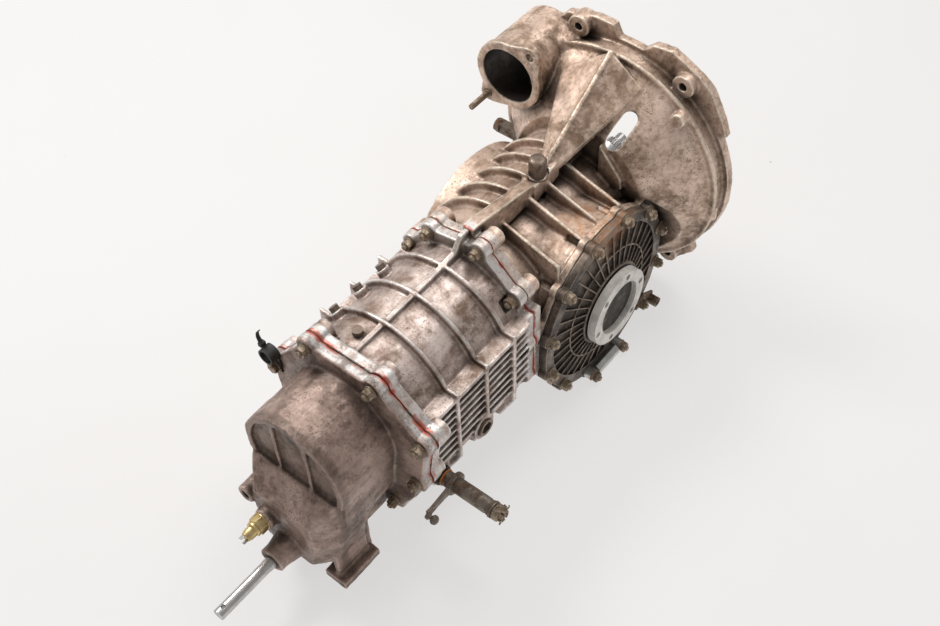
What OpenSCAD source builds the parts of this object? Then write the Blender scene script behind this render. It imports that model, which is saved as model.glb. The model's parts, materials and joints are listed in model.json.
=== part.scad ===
// Five-speed manual transaxle: clutch housing, differential, gear train and front cover.
// Origin: centre of the engine mating face on the input shaft axis.
// +X runs forward to the selector rod, +Y to the side cover, +Z up. Millimetres.

/* [Layout] */
// Distance from the input shaft down to the pinion shaft
shaft_gap = 77; // [76.5:0.25:77.5]
// Distance from the engine face to the axle centre line
diff_x = 190; // [189:0.5:191]
// Plane behind the clutch room that parts the bell from the axle housing
bell_end_x = 104; // [104]
// Engine face to the joint between main and gear housing
rear_joint_x = 325; // [325]
// Engine face to the joint between gear housing and nose cover
front_joint_x = 535; // [535]
// Height of the surface that the transaxle stands on
floor_z = -206; // [-207:0.5:-205]

/* [Clutch housing] */
// Radius of the engine flange
bell_r = 168; // [166:1:170]
// Wall thickness of the castings
wall = 7; // [6:0.5:8]
// Bore radius of the starter mounting
starter_bore_r = 38; // [36:0.5:39]
// Distance from the engine face to the starter mounting face
starter_face_x = 101; // [99:1:103]

/* [Side cover and output flanges] */
// Radius of the circle of side cover nuts
cover_nut_r = 122; // [121:0.5:122]
// Number of side cover nuts
cover_nuts = 12; // [12]
// Distance from the centre plane to an output flange face
flange_face_y = 131; // [130:0.5:133]
// Radius of an output flange
flange_r = 54; // [53:0.5:55]
// Radius of the output flange bolt circle
flange_bolt_r = 47; // [46.5:0.5:47.5]
// Number of fine radial ribs on the side cover
cover_ribs = 36; // [24:6:40]

/* [Gear housing] */
// Radius of the gear housing barrel
barrel_r = 90; // [89:0.5:91]
// Height of the ribs that go round the barrel
rib_h = 9; // [6:1:10]
// Number of cooling fins under the side ledge
fin_count = 7; // [5:1:8]

/* [Selector] */
// Radius of the selector rod
rod_r = 7.5; // [7:0.25:8]
// Radius of its guided length inside the nose cover
rod_guided_r = 8; // [7.5:0.25:8.5]
// Travel of a shift sleeve each way
shift_travel = 8; // [6:1:8]
// Distance from the engine face to the end of the selector rod
rod_end_x = 783; // [770:1:790]

/* [Fits] */
// Radial clearance of a running fit
fit = 0.05; // [0.02:0.01:0.1]
// Tooth backlash of the spur gears
backlash = 0.4; // [0.3:0.05:0.6]

/* [Hidden] */
$fn = 64;
out_z = -shaft_gap;
barrel_z = -20;
gasket_t = 0.6;
cover_joint_y = 98;
cover_face_y = 109;
drum_r = 121;
drum_in_r = 111;
spine_z = 78;
rod_z = -141;
starter_y = -114;
starter_z = 115;
starter_ear = [-80, 160];
starter_stud_yz = [-146, 72];

// gear train: teeth on the input shaft, teeth on the pinion shaft, start of the pair along X
first = [11, 35, 352];
second = [18, 33, 408];
third = [23, 29, 430];
fourth = [27, 25, 486];
fifth = [29, 21, 543];
gear_w = 18;
rev_teeth = [13, 12, 32];
rev_m = 3;
rev_x = 599;
rev_w = 14;
hub_12_x = 389;
hub_34_x = 467;
hub_5r_x = 580;
hub_r = 30;
sleeve_r = 42;
groove_r = 37;
shaft_r = 17;
input_r = 14;
rail_r = 5;
rail_pos = 60;
rail_12 = [rail_pos * cos(-115), out_z + rail_pos * sin(-115)];
rail_34 = [0, out_z - rail_pos];
rail_5r = [rail_pos * cos(-65), out_z + rail_pos * sin(-65)];

// reverse idler centre: at mesh distance from both shafts, on the right-hand side
idler_d1 = (rev_teeth[0] + rev_teeth[1]) * rev_m / 2;
idler_d2 = (rev_teeth[1] + rev_teeth[2]) * rev_m / 2;
idler_z = (idler_d2 * idler_d2 - idler_d1 * idler_d1 - shaft_gap * shaft_gap) / (2 * shaft_gap);
idler_y = -sqrt(idler_d1 * idler_d1 - idler_z * idler_z);

// bevel pair: teeth and pitch radii, then the pair inside the differential
pinion_teeth = 7;
ring_teeth = 31;
ring_pitch_r = 88;
pinion_pitch_r = ring_pitch_r * pinion_teeth / ring_teeth;
side_teeth = 16;
spider_teeth = 10;
side_pitch_r = 22;
spider_pitch_r = side_pitch_r * spider_teeth / side_teeth;

// stud positions round the two housing joints, [y, z]
rear_studs = [[25, 86], [-49, 73], [75, 38], [-80, 34], [88, -33], [-92, -33],
              [86, -97], [-86, -97], [44, -146], [-44, -146]];
front_studs = [[48, 69], [-48, 69], [112, 18], [-98, -78], [100, -62], [-62, -136],
               [62, -136]];
clip_at = [-106, -5];
cover_angles = [for (i = [0 : cover_nuts - 1]) 15 + i * 360 / cover_nuts];
spacer_angles = [-75, -105];
bracket_angle = 225;
engine_holes = [[-62, 168], [92, 148], [100, -140], [-100, -140]];
input_bearings_x = [303, 518];
nose_end_x = 632;
foot_x = 622;
foot_gap = 96;
lever_x = 505;
lever_z = -105;

// ---------- placing helpers ----------

// 2-D (y, z) outline extruded along +X from x
module yz(x, h) { translate([x, 0, 0]) rotate([90, 0, 90]) linear_extrude(h) children(); }
// 2-D (x, z) outline extruded along +Y from y
module xz(y, h) { translate([0, y + h, 0]) rotate([90, 0, 0]) linear_extrude(h) children(); }
// round bar along +X
module xbar(x, yz_at, r, h) {
    translate([x, yz_at[0], yz_at[1]]) rotate([0, 90, 0]) cylinder(r = r, h = h);
}
// round bar along +Y on the axle centre line or at another [x, z]
module ybar(y, r, h, at = [diff_x, out_z]) {
    translate([at[0], y, at[1]]) rotate([-90, 0, 0]) cylinder(r = r, h = h);
}
module zbar(at, r, h) { translate(at) cylinder(r = r, h = h); }
module xring(x, yz_at, r_out, r_in, h) {
    difference() { xbar(x, yz_at, r_out, h); xbar(x - 1, yz_at, r_in, h + 2); }
}
module yring(y, r_out, r_in, h, at = [diff_x, out_z]) {
    difference() { ybar(y, r_out, h, at); ybar(y - 1, r_in, h + 2, at); }
}
module box(lo, hi) { translate(lo) cube(hi - lo); }
// children stand on the differential centre with local z along +Y
module on_axle(flip = false) {
    translate([diff_x, 0, out_z]) rotate([flip ? 90 : -90, 0, 0]) children();
}

// M8 stud end with its washer and nut, standing along local +z from the flange face
module stud_nut() {
    cylinder(r = 8.5, h = 1.5);
    translate([0, 0, 1.5]) cylinder(r = 7.5, h = 6.5, $fn = 6);
    translate([0, 0, 8]) cylinder(r = 4, h = 4.5);
}

// ---------- gear helpers ----------

function polar(r, a) = [r * cos(a), r * sin(a)];
function inv_deg(r, rb) = let (t = sqrt(max(0, r * r / (rb * rb) - 1))) t * 180 / PI - atan(t);
function tooth(a, radii, halves) = concat(
    [for (k = [0 : len(radii) - 1]) polar(radii[k], a - halves[k])],
    [for (k = [len(radii) - 1 : -1 : 0]) polar(radii[k], a + halves[k])]);

// spur gear outline with a tooth centred at angle a0
module spur(teeth, m, a0 = 0) {
    rp = teeth * m / 2;
    rb = rp * cos(25);
    radii = [max(rp - 1.1 * m, 0.5), rp, rp + 0.8 * m];
    half = (PI * m / 2 - backlash / 2) / rp / 2 * 180 / PI;
    halves = [for (r = radii) half + inv_deg(rp, rb) - inv_deg(max(r, rb), rb)];
    polygon([for (i = [0 : teeth - 1]) each tooth(a0 + i * 360 / teeth, radii, halves)]);
}

// bevel gear with its apex at the origin and its axis on +z; the mate's pitch radius is h
module bevel(teeth, rp, h, add, ded, t0, t1, a0 = 0) {
    cone = atan(rp / h);
    dist = norm([rp, h]);
    radii = [h * tan(cone - atan(ded / dist)), rp, h * tan(cone + atan(add / dist))];
    half = 90 / teeth;
    halves = [half * 1.12, half * 0.76, half * 0.44];
    translate([0, 0, h * t0]) linear_extrude(height = h * (t1 - t0), scale = t1 / t0)
        scale(t0) polygon([for (i = [0 : teeth - 1])
            each tooth(a0 + i * 360 / teeth, radii, halves)]);
}

function pair_m(g) = 2 * shaft_gap / (g[0] + g[1]);

// driven gear that turns freely on the pinion shaft, with its synchro cone towards dir
module free_gear(g, dir) {
    difference() {
        union() {
            translate([0, 0, out_z]) yz(g[2], gear_w) spur(g[1], pair_m(g), 90 + 180 / g[1]);
            xbar(dir > 0 ? g[2] + gear_w : g[2] - 4, [0, out_z], 29.5, 4);
        }
        xbar(g[2] - 5, [0, out_z], shaft_r + fit, gear_w + 10);
    }
}
// driving gear on the input shaft, tooth pointing down at the pinion shaft
module drive_gear(g) { yz(g[2], gear_w) spur(g[0], pair_m(g), -90); }

// ball bearing along X with race radii r_out and r_in
module ball_ring(r_out, r_in, w) {
    mid = (r_out + r_in) / 2;
    race = (r_out - r_in) * 0.28;
    difference() {
        cylinder(r = r_out, h = w);
        translate([0, 0, -1]) cylinder(r = r_out - race, h = w + 2);
    }
    difference() {
        cylinder(r = r_in + race, h = w);
        translate([0, 0, -1]) cylinder(r = r_in, h = w + 2);
    }
    for (a = [0 : 36 : 324]) rotate(a) translate([mid, 0, w / 2])
        sphere(r = (r_out - r_in) * 0.215, $fn = 24);
}

// ---------- casting outlines ----------

// slab of the gear housing section grown by g
module case_slab(x, h, g = 0) {
    xbar(x, [0, barrel_z], barrel_r + g, h);
    side = 95 + g;
    yz(x, h) polygon([[side, 16 + g], [side, -98], [72 + g, -138 - g], [30, -156 - g],
                      [-30, -156 - g], [-72 - g, -138 - g], [-side, -98], [-side, 16 + g]]);
}
// joint flange: straight edges from stud to stud with round lugs
module joint_slab(x, h, ring, grow, lug_r) {
    c = [0, -40];
    yz(x, h) polygon([for (p = ring) c + (p - c) * (1 + grow / norm(p - c))]);
    for (p = ring) xbar(x, p, lug_r, h);
}
module rear_slab(x, h) {
    joint_slab(x, h, [for (i = [0, 2, 4, 6, 8, 9, 7, 5, 3, 1]) rear_studs[i]], 6, 13);
    case_slab(x, h, 2);
}
module front_slab(x, h) {
    ring = [for (i = [0, 2, 4, 6, 5, 3]) front_studs[i]];
    joint_slab(x, h, concat(ring, [clip_at, front_studs[1]]), 8, 14);
    case_slab(x, h, 1);
}
// slab of the nose cover section grown by g
module nose_slab(x, h, g = 0) {
    xbar(x, [0, -18], 73 + g, h);
    xbar(x, [0, out_z], 66 + g, h);
    yz(x, h) {
        polygon([[72.9 + g, -18], [-72.9 - g, -18], [-65.9 - g, out_z], [65.9 + g, out_z]]);
        polygon([[45 + g, out_z], [-45 - g, out_z], [-45 - g, -156 - g], [45 + g, -156 - g]]);
    }
}
// side cover: a disc with a lobe at every nut
module cover_slab(y, h) {
    on_axle() translate([0, 0, y]) {
        cylinder(r = 126, h = h, $fn = 96);
        for (a = cover_angles) rotate(-a) translate([cover_nut_r + 1.5, 0, 0]) cylinder(r = 9, h = h);
    }
}
module stud_holes(studs, x, h, r = 4.2) { for (p = studs) xbar(x, p, r, h); }
function on_cover(a) = [diff_x + cover_nut_r * cos(a), out_z + cover_nut_r * sin(a)];
module cover_holes(y, h, r = 4.2) { for (a = cover_angles) ybar(y, r, h, on_cover(a)); }
// section of the clutch bell as [radius, x] from the engine face to the back wall
bell_outer = [[160, 0], [160, 30], [151, 45], [141, 60], [128, 75], [113, 89], [98, 102], [0, 102]];
bell_inner = [[151, -1], [151, 27], [143, 42], [133, 56], [120, 70], [105, 84], [92, 95], [0, 95]];
module bell_solid(profile) {
    rotate([0, 90, 0]) rotate_extrude($fn = 128) polygon(concat([[0, profile[0][1]]], profile));
}
// clutch room; the wall bulges in over the ring gear and behind the side cover
module bell_room() {
    difference() {
        bell_solid(bell_inner);
        intersection() {
            ybar(-109, drum_r - 0.7, 206);
            box([83, -120, -220], [120, 120, -38]);
        }
        ybar(cover_joint_y - 7, 141, 80);
    }
}
module engine_flange() {
    circle(r = bell_r, $fn = 128);
    for (ear = [[[-118, 110], [-108, 148], [-88, 172], [-44, 184], [-18, 183], [0, 150]],
                [[20, 160], [40, 179], [66, 182], [108, 162], [126, 148], [146, 112], [154, 90], [120, 90]],
                [[120, -90], [133, -128], [112, -152], [84, -164], [60, -140]],
                [[-120, -90], [-133, -128], [-112, -152], [-84, -164], [-60, -140]]])
        polygon(ear);
}

// ---------- castings ----------

module bell_outside() {
    bell_solid(bell_outer);
    yz(0, 12) engine_flange();
    translate([31, 0, 0]) rotate([0, 90, 0]) cylinder(r = 165, h = 6, $fn = 128);
    // rim pockets behind the engine bolts
    for (p = engine_holes) xbar(0, p, 15, 24);
    // starter tube and its flange, blended to the bell
    xbar(8, [starter_y, starter_z], starter_bore_r + 8, starter_face_x - 8);
    hull() {
        xbar(2, [starter_y, starter_z], starter_bore_r + 8, 6, $fn = 32);
        xbar(40, [starter_y + 12, starter_z - 12], starter_bore_r + 4, 4, $fn = 32);
        xbar(2, [-60, 128], 24, 28, $fn = 32);
    }
    yz(starter_face_x - 10, 10) {
        translate([starter_y, starter_z]) circle(r = starter_bore_r + 11);
        translate(starter_ear) circle(r = 13);
        translate(starter_stud_yz) circle(r = 12);
        polygon([[-139, 155], [-84, 173], [-66, 152], [-70, 94]]);
        polygon([[-155, 90], [-158, 72], [-142, 60], [-116, 66], [-140, 110]]);
    }
    xbar(37, [104, 118], 9, 12);
    box([26, 150, -30], [34, 166, -10]);
}
// saddle-shaped web that carries the spine up to the bell ring
module spine_web() {
    top = [[42, 0, 172], [60, -60, 128], [172, -11, 79], [176, 0, 85], [172, 11, 79], [48, 52, 142]];
    low = [for (p = top) p - [4, 0, 8]];
    polyhedron(points = concat(top, low), faces = [
        [0, 3, 2], [0, 2, 1], [0, 5, 4], [0, 4, 3],
        [6, 8, 9], [6, 7, 8], [6, 10, 11], [6, 9, 10],
        [0, 1, 7], [0, 7, 6], [1, 2, 8], [1, 8, 7], [2, 3, 9], [2, 9, 8],
        [3, 4, 10], [3, 10, 9], [4, 5, 11], [4, 11, 10], [5, 0, 6], [5, 6, 11]]);
    xz(-3, 6) polygon([[32, 160], [42, 173], [176, 86], [176, 60], [120, 60], [70, 130]]);
}
module main_ribs() {
    // left side ribs follow the barrel
    for (x = [136, 168, 200, 232, 264]) intersection() {
        yz(x, 5) translate([0, barrel_z]) circle(r = 106);
        box([x - 1, -120, -70], [x + 6, -4, 100]);
    }
    // right side ribs fall from the spine to the side cover flange
    for (x = [142, 182, 217, 268])
        yz(x, 5) polygon([[0, 72], [12, 70], [92, 46], [94, 20], [0, 20]]);
    yz(104, 6) polygon([[34, 86], [68, 46], [70, 30], [34, 30]]);
}
module main_outside() {
    bell_outside();
    // back of the clutch housing and the tunnel over the differential
    intersection() {
        xbar(98, [0, barrel_z], 94, rear_joint_x - 98);
        box([90, -100, -120], [330, 1, 80]);
    }
    xbar(98, [0, -34], 82, rear_joint_x - 98);
    xbar(98, [0, out_z], 68, rear_joint_x - 98);
    on_axle() rotate(37) translate([0, 0, -110]) cylinder(r = drum_r, h = 110 + cover_joint_y);
    cover_slab(cover_joint_y - 10, 10);
    box([150, -70, floor_z], [230, 70, -180]);
    ybar(-118, 52, 20);
    rear_slab(rear_joint_x - 13, 13);
    for (p = rear_studs) xbar(rear_joint_x - 24, p, 12, 24);
    // spine from the top plug to the rear joint
    xz(-8, 16) polygon([[160, 60], [160, 88], [190, spine_z], [312, 100], [325, 100], [325, 50]]);
    xz(-11, 22) polygon([[160, 60], [160, 86], [210, spine_z + 2], [210, 50]]);
    spine_web();
    main_ribs();
}
// differential room and the tunnel to the gear housing
module main_rooms() {
    difference() {
        ybar(-98, drum_in_r, 98 + cover_joint_y + 1);
        box([60, -99, -200], [90, 110, 60]);
        box([60, -99, -45], [102, 110, 60]);
    }
    intersection() {
        xbar(106, [0, -32], 72, 194);
        box([106, -72, -110], [300, 72, 60]);
    }
}
// the clutch bell and the axle housing, one casting in life, parted at a plane behind the bell
module main_casting() difference() {
    union() {
        difference() {
            main_outside();
            main_rooms();
            bell_room();
            ybar(cover_joint_y, 135.5, 80);
        }
        // seat of the far axle bearing and the brackets of the clutch lever post
        ybar(-100, 50, 40);
        for (s = [-1, 1]) box([72, -71, s * 17 - 3], [98, -53, s * 17 + 3]);
    }
    // bearing seats, shaft passages and seal seats
    xbar(input_bearings_x[0], [0, 0], 31, 40);
    xbar(298, [0, out_z], 36, 40);
    xbar(90, [0, 0], 16, 30);
    xbar(96, [0, 0], 20, 7);
    xbar(290, [0, 0], 22, 20);
    xbar(290, [0, out_z], 26, 20);
    ybar(-96, 38, 40);
    ybar(-130, 32, 40);
    // starter bore, opening for the clutch lever and the inspection window
    xbar(14, [starter_y, starter_z], starter_bore_r, 100);
    xbar(80, starter_ear, 5.5, 30);
    xbar(80, starter_stud_yz, 5 + fit, 30);
    box([60, -170, -15], [97, -92, 15]);
    zbar([78, -62, -21], 6.02, 42);
    translate([89, 53, 107]) rotate([0, 39.5, 40.7]) rotate(-38) {
        cube([32, 20, 90], center = true);
        for (s = [-16, 16]) translate([s, 0, -45]) cylinder(r = 10, h = 90);
    }
    for (p = engine_holes) xbar(-1, p, 5.5, 40);
    stud_holes(rear_studs, rear_joint_x - 22, 25);
    cover_holes(cover_joint_y - 30, 40);
    zbar([diff_x, 0, 40], 9, 60);
    zbar([diff_x, 0, spine_z], 14, 30);
    zbar([215, 0, floor_z - 1], 11, 50);
}
// corner of the bell that carries the starter
module starter_corner() {
    box([12, -220, 58], [60, -70, 240]);
    box([60, -220, 58], [bell_end_x, -60, 240]);
}
module bell_housing() color("#a8978a") difference() {
    intersection() {
        main_casting();
        box([-1, -220, -240], [bell_end_x, 220, 240]);
    }
    starter_corner();
}
module starter_mount() color("#a8978a") intersection() {
    main_casting();
    starter_corner();
}
module main_housing() color("#a8978a") difference() {
    main_casting();
    box([-10, -220, -240], [bell_end_x, 220, 240]);
}
// detent bores leave the far shoulder of the barrel at 45 degrees
module detent_axis(x) { translate([x, -66, 46]) rotate([45, 0, 0]) children(); }

module gear_housing() color("#c9c2bb") difference() {
    union() {
        case_slab(rear_joint_x + gasket_t, front_joint_x - rear_joint_x - gasket_t);
        rear_slab(rear_joint_x + gasket_t, 13);
        front_slab(front_joint_x - 13, 13);
        for (p = concat(front_studs, [clip_at])) xbar(front_joint_x - 22, p, 13, 22);
        for (x = [369, 420, 472]) case_slab(x, 5, rib_h);
        xz(-3.5, 7) polygon([[326, 50], [326, 100], [339, 100], [352, 82], [380, spine_z],
                             [522, spine_z - 3], [522, 50]]);
        // ledge, cooling fins, filler boss and the socket of the throttle cross shaft
        box([339, 80, 12], [522, 103, 18]);
        for (i = [0 : fin_count - 1]) let (z = -2 - i * 13)
            box([339, 90, z - 1.5], [522, 101, z + 1.5]);
        ybar(84, 18, 19, [430, -88]);
        ybar(76, 16.5, 20, [lever_x, lever_z]);
        for (x = [400, 440, 480]) detent_axis(x) translate([0, 0, -14]) cylinder(r = 9, h = 20);
    }
    // gear room: narrow at the rear joint, wide up to the front bearing wall
    xbar(rear_joint_x - 1, [0, barrel_z], 72, 60);
    xbar(rear_joint_x - 1, [0, out_z], 66, 60);
    case_slab(358, 156, -wall);
    // pockets for the rear joint nuts
    for (p = rear_studs) xbar(rear_joint_x + gasket_t + 13, p, 10.5, 14);
    xbar(input_bearings_x[1], [0, 0], 26, 30);
    xbar(518, [0, out_z], 30, 30);
    xbar(510, [0, 0], 18, 30);
    xbar(510, [0, out_z], 20, 30);
    for (p = [rail_12, rail_34, rail_5r]) xbar(500, p, rail_r + fit, 40);
    stud_holes(rear_studs, rear_joint_x - 1, 16);
    stud_holes(concat(front_studs, [clip_at]), front_joint_x - 20, 22);
    ybar(80, 12, 30, [430, -88]);
    ybar(84, 6, 20, [lever_x, lever_z]);
    for (x = [400, 440, 480]) detent_axis(x) translate([0, 0, -20]) cylinder(r = 5, h = 40);
    zbar([500, -16, 50], 5, 40);
}

module nose_cover() color("#7d6c62") difference() {
    union() {
        front_slab(front_joint_x + gasket_t, 15);
        nose_slab(548, nose_end_x - 548);
        // stepped snout around the selector
        hull() {
            yz(600, 40) polygon([[-66, -40], [60, -40], [64, -110], [50, -168], [-50, -168], [-68, -110]]);
            yz(655, 12) polygon([[-46, -70], [40, -70], [44, -110], [32, -160], [-34, -160], [-48, -110]]);
        }
        hull() {
            xbar(640, [0, rod_z], 24, 10, $fn = 32);
            xbar(690, [0, rod_z], 16, 4, $fn = 32);
        }
        xbar(690, [0, rod_z], 17, 8);
        xbar(640, [-24, -100], 14, 38);
        xbar(600, [-60, -92], 12, 70);
        // rim of the pocketed end
        difference() {
            xbar(nose_end_x - 2, [0, -18], 73, 8);
            xbar(nose_end_x - 3, [0, -18], 64, 10);
            box([600, -90, -120], [660, 90, -40]);
        }
        for (y = [-26, 22]) box([nose_end_x - 2, y, -40], [nose_end_x + 6, y + 5, 42]);
        // mounting feet
        for (s = [-1, 1]) {
            box([590, s * foot_gap / 2 - 17, floor_z], [652, s * foot_gap / 2 + 17, floor_z + 12]);
            box([596, s * foot_gap / 2 - 4, floor_z], [646, s * foot_gap / 2 + 4, -130]);
            box([586, s * (foot_gap / 2 - 8) - 8, floor_z], [593, s * (foot_gap / 2 - 8) + 8, -130]);
        }
    }
    intersection() {
        nose_slab(530, 95, -wall);
        box([530, -100, -160], [625, 100, 100]);
    }
    // selector room and the bores of the rod, its guide and the switch
    box([610, -34, -158], [652, 34, -112]);
    box([610, -32, -130], [662, 32, -112]);
    xbar(640, [0, rod_z], 12 + fit, 28);
    xbar(640, [0, rod_z], rod_guided_r + fit, 70);
    xbar(692, [0, rod_z], 11, 10);
    xbar(630, [-24, -100], 7, 60);
    xbar(650, [-60, -92], 6, 30);
    xbar(620, [idler_y, idler_z], 7.95, 11);
    stud_holes(concat(front_studs, [clip_at]), front_joint_x - 1, 20);
    for (s = [-1, 1]) zbar([foot_x, s * foot_gap / 2, floor_z - 1], 5.25, 14);
}

module side_cover() color("#4a3b33") difference() {
    union() {
        difference() {
            cover_slab(cover_joint_y + gasket_t, cover_face_y - cover_joint_y - gasket_t);
            ybar(cover_joint_y - 1, 110, 20);
        }
        // thin dished floor
        on_axle() rotate_extrude($fn = 96)
            polygon([[40, 98.6], [111, 98.6], [111, 104], [56, 112], [40, 112]]);
        yring(60, 50, 38, 58);
        yring(98.6, 58, 32, 19);
        yring(98.6, 81, 78.5, 13.5);
        // fine radial ribs
        on_axle() for (i = [0 : cover_ribs - 1]) rotate(i * 360 / cover_ribs + 5)
            rotate([90, 0, 0]) translate([0, 0, -0.9]) linear_extrude(1.8)
                polygon([[53, 100], [113, 100], [113, 108], [55, 116.5]]);
    }
    ybar(50, 38, 55);
    ybar(100, 32, 30);
    cover_holes(cover_joint_y - 1, 20);
}

// ---------- gaskets and fasteners ----------

module side_cover_gasket() color("#2b2622") difference() {
    cover_slab(cover_joint_y, gasket_t);
    ybar(cover_joint_y - 1, drum_in_r, 3);
    cover_holes(cover_joint_y - 1, 3);
}
module rear_joint_gasket() color("#b5382c") difference() {
    rear_slab(rear_joint_x, gasket_t);
    xbar(rear_joint_x - 1, [0, barrel_z], 72, 3);
    xbar(rear_joint_x - 1, [0, out_z], 66, 3);
    stud_holes(rear_studs, rear_joint_x - 1, 3);
}
module front_joint_gasket() color("#b5382c") difference() {
    front_slab(front_joint_x, gasket_t);
    nose_slab(front_joint_x - 1, 3, -wall);
    stud_holes(concat(front_studs, [clip_at]), front_joint_x - 1, 3);
}
// height of the spacer or bracket under the nut at angle a
function nut_lift(a) = len(search(a - 360, spacer_angles)) > 0 ? 10 : a == bracket_angle ? 3 : 0;
module side_cover_nuts() color("#6f625a") for (a = cover_angles) let (lift = nut_lift(a))
    translate([on_cover(a)[0], cover_face_y + lift, on_cover(a)[1]]) rotate([-90, 0, 0]) {
        stud_nut();
        translate([0, 0, -lift - 20]) cylinder(r = 4, h = lift + 21);
    }
module rear_joint_nuts() color("#6f625a") for (p = rear_studs)
    translate([rear_joint_x + gasket_t + 13, p[0], p[1]]) rotate([0, 90, 0]) {
        stud_nut();
        translate([0, 0, -34]) cylinder(r = 4, h = 35);
    }
module front_joint_nuts() color("#6f625a") for (p = front_studs)
    translate([front_joint_x + gasket_t + 15, p[0], p[1]]) rotate([0, 90, 0]) {
        stud_nut();
        translate([0, 0, -34]) cylinder(r = 4, h = 35);
    }
// two sleeves and a hexagonal bar under the lower side cover nuts
module cover_spacers() color("#c4c1bd") {
    for (a = spacer_angles)
        yring(cover_face_y, 8, 4.2, 10, on_cover(a));
    half = cover_nut_r * cos(75) - 9;
    translate([diff_x - half, cover_face_y + 8, out_z - cover_nut_r * sin(75)])
        rotate([0, 90, 0]) cylinder(r = 7.5, h = 2 * half, $fn = 6);
}
// sheet bracket for a cable under a rear side cover nut
module wire_bracket() color("#6b5b50") {
    difference() {
        xz(cover_face_y, 3) polygon([[96, -172], [112, -172], [112, -154], [98, -152],
                                     [72, -168], [72, -182], [84, -186]]);
        ybar(cover_face_y - 1, 4.2, 5, on_cover(bracket_angle));
    }
    difference() {
        ybar(cover_face_y, 7, 16, [79, -177]);
        ybar(cover_face_y - 1, 4, 18, [79, -177]);
    }
}
module top_plug() color("#5b4c43") {
    zbar([diff_x, 0, 60], 8.9, spine_z - 60);
    zbar([diff_x, 0, spine_z], 13, 2.5);
    translate([diff_x, 0, spine_z + 2.5]) cylinder(r = 11.5, h = 24, $fn = 6);
    zbar([diff_x, 0, spine_z + 26.5], 9.5, 2.5);
}
// screw plug with a hexagon socket
// filler plug in the side of the gear housing, drain plug under the axle
module oil_plugs() color("#8a8079") {
    difference() {
        ybar(88, 11.9, 18, [430, -88]);
        translate([430, 97, -88]) rotate([-90, 0, 0]) cylinder(r = 9, h = 12, $fn = 6);
    }
    difference() {
        zbar([215, 0, floor_z + 1], 10.9, 26);
        translate([215, 0, floor_z]) cylinder(r = 7, h = 10, $fn = 6);
    }
}
module detent_plugs() color("#8f867e") {
    for (x = [400, 440, 480]) detent_axis(x) {
        translate([0, 0, -16]) cylinder(r = 4.9, h = 22);
        translate([0, 0, 6]) cylinder(r = 6.5, h = 6, $fn = 6);
    }
    zbar([500, -16, 56], 4.9, 14.6);
    zbar([500, -16, 70.6], 6.5, 6);
}
module reverse_switch() color("#c8a868") {
    xbar(640, [-24, -100], 6.9, 38);
    translate([678, -24, -100]) rotate([0, 90, 0]) {
        cylinder(r = 12, h = 2);
        translate([0, 0, 2]) cylinder(r = 12, h = 11, $fn = 6);
        translate([0, 0, 13]) cylinder(r = 10, h = 4);
        translate([0, 0, 17]) cylinder(r = 7.5, h = 12);
        for (s = [-1, 1]) translate([-3, s * 4 - 0.5, 29]) cube([6, 1, 6]);
    }
}
// rubber loop held by a bolt in the far lug of the front joint
clip_x = front_joint_x + gasket_t + 15;
module cable_clip() color("#1e1c1b") difference() {
    union() {
        box([clip_x, clip_at[0] - 9, clip_at[1] - 8], [clip_x + 2, clip_at[0] + 9, clip_at[1] + 18]);
        xbar(clip_x, clip_at + [0, 26], 11, 14);
    }
    xbar(clip_x - 1, clip_at, 4.2, 5);
    xbar(clip_x - 1, clip_at + [0, 26], 8.5, 17);
}
module clip_bolt() color("#7b6a50") {
    xbar(clip_x - 32, clip_at, 4, 34.5);
    xbar(clip_x + 2, clip_at, 8, 1.5);
    translate([clip_x + 3.5, clip_at[0], clip_at[1]]) rotate([0, 90, 0])
        cylinder(r = 7.5, h = 6, $fn = 6);
}
module starter_stud() color("#6e5a48") {
    xbar(starter_face_x - 18, starter_stud_yz, 5, 18);
    xbar(starter_face_x, starter_stud_yz, 4.1, 36);
}
module shaft_seals() color("#262322") {
    xring(96, [0, 0], 20, 12 + fit, 7);
    yring(106, 32, 26 + fit, 9);
    yring(-115, 32, 26 + fit, 9);
    xring(692, [0, rod_z], 11, rod_guided_r + fit, 5);
    yring(96, 13, 6.5, 4, [lever_x, lever_z]);
}
// ball bearings of the input shaft and the pinion shaft
module shaft_bearings() color("#b9bcc0") {
    translate([input_bearings_x[0], 0, 0]) rotate([0, 90, 0]) ball_ring(31, input_r + fit, 18);
    translate([input_bearings_x[1], 0, 0]) rotate([0, 90, 0]) ball_ring(26, input_r + fit, 16);
    translate([300, 0, out_z]) rotate([0, 90, 0]) ball_ring(36, 20 + fit, 22);
    translate([518, 0, out_z]) rotate([0, 90, 0]) ball_ring(30, shaft_r + fit, 16);
}
module diff_bearings() color("#b9bcc0") for (y = [62, -80])
    translate([diff_x, y, out_z]) rotate([-90, 0, 0]) ball_ring(38, 22 + fit, 18);
module release_guide_tube() color("#9b9ea2") {
    xring(46, [0, 0], 17.5, 13.5, 49);
    xring(88, [0, 0], 34, 17, 7);
}
// post that the clutch lever rocks on
module fork_pivot() color("#8d8f92") zbar([78, -62, -21], 6, 42);
module cross_shaft() color("#7a736c") {
    ybar(84.2, 5.9, 91.6, [lever_x, lever_z]);
    yring(172.5, 11, 6, 3, [lever_x, lever_z]);
}
module cross_shaft_nut() color("#8b7a68") {
    translate([lever_x, 176, lever_z]) rotate([-90, 0, 0]) {
        cylinder(r = 10.5, h = 9, $fn = 6);
        difference() {
            cylinder(r = 8.5, h = 14);
            for (a = [0 : 60 : 120]) rotate(a) translate([-10, -1.3, 10]) cube([20, 2.6, 6]);
        }
        translate([-13, 0, 12.5]) rotate([0, 90, 0]) cylinder(r = 1.2, h = 26);
    }
}
module idler_shaft() color("#9b9ea2") xbar(566, [idler_y, idler_z], 7.9, 64.8);

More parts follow.
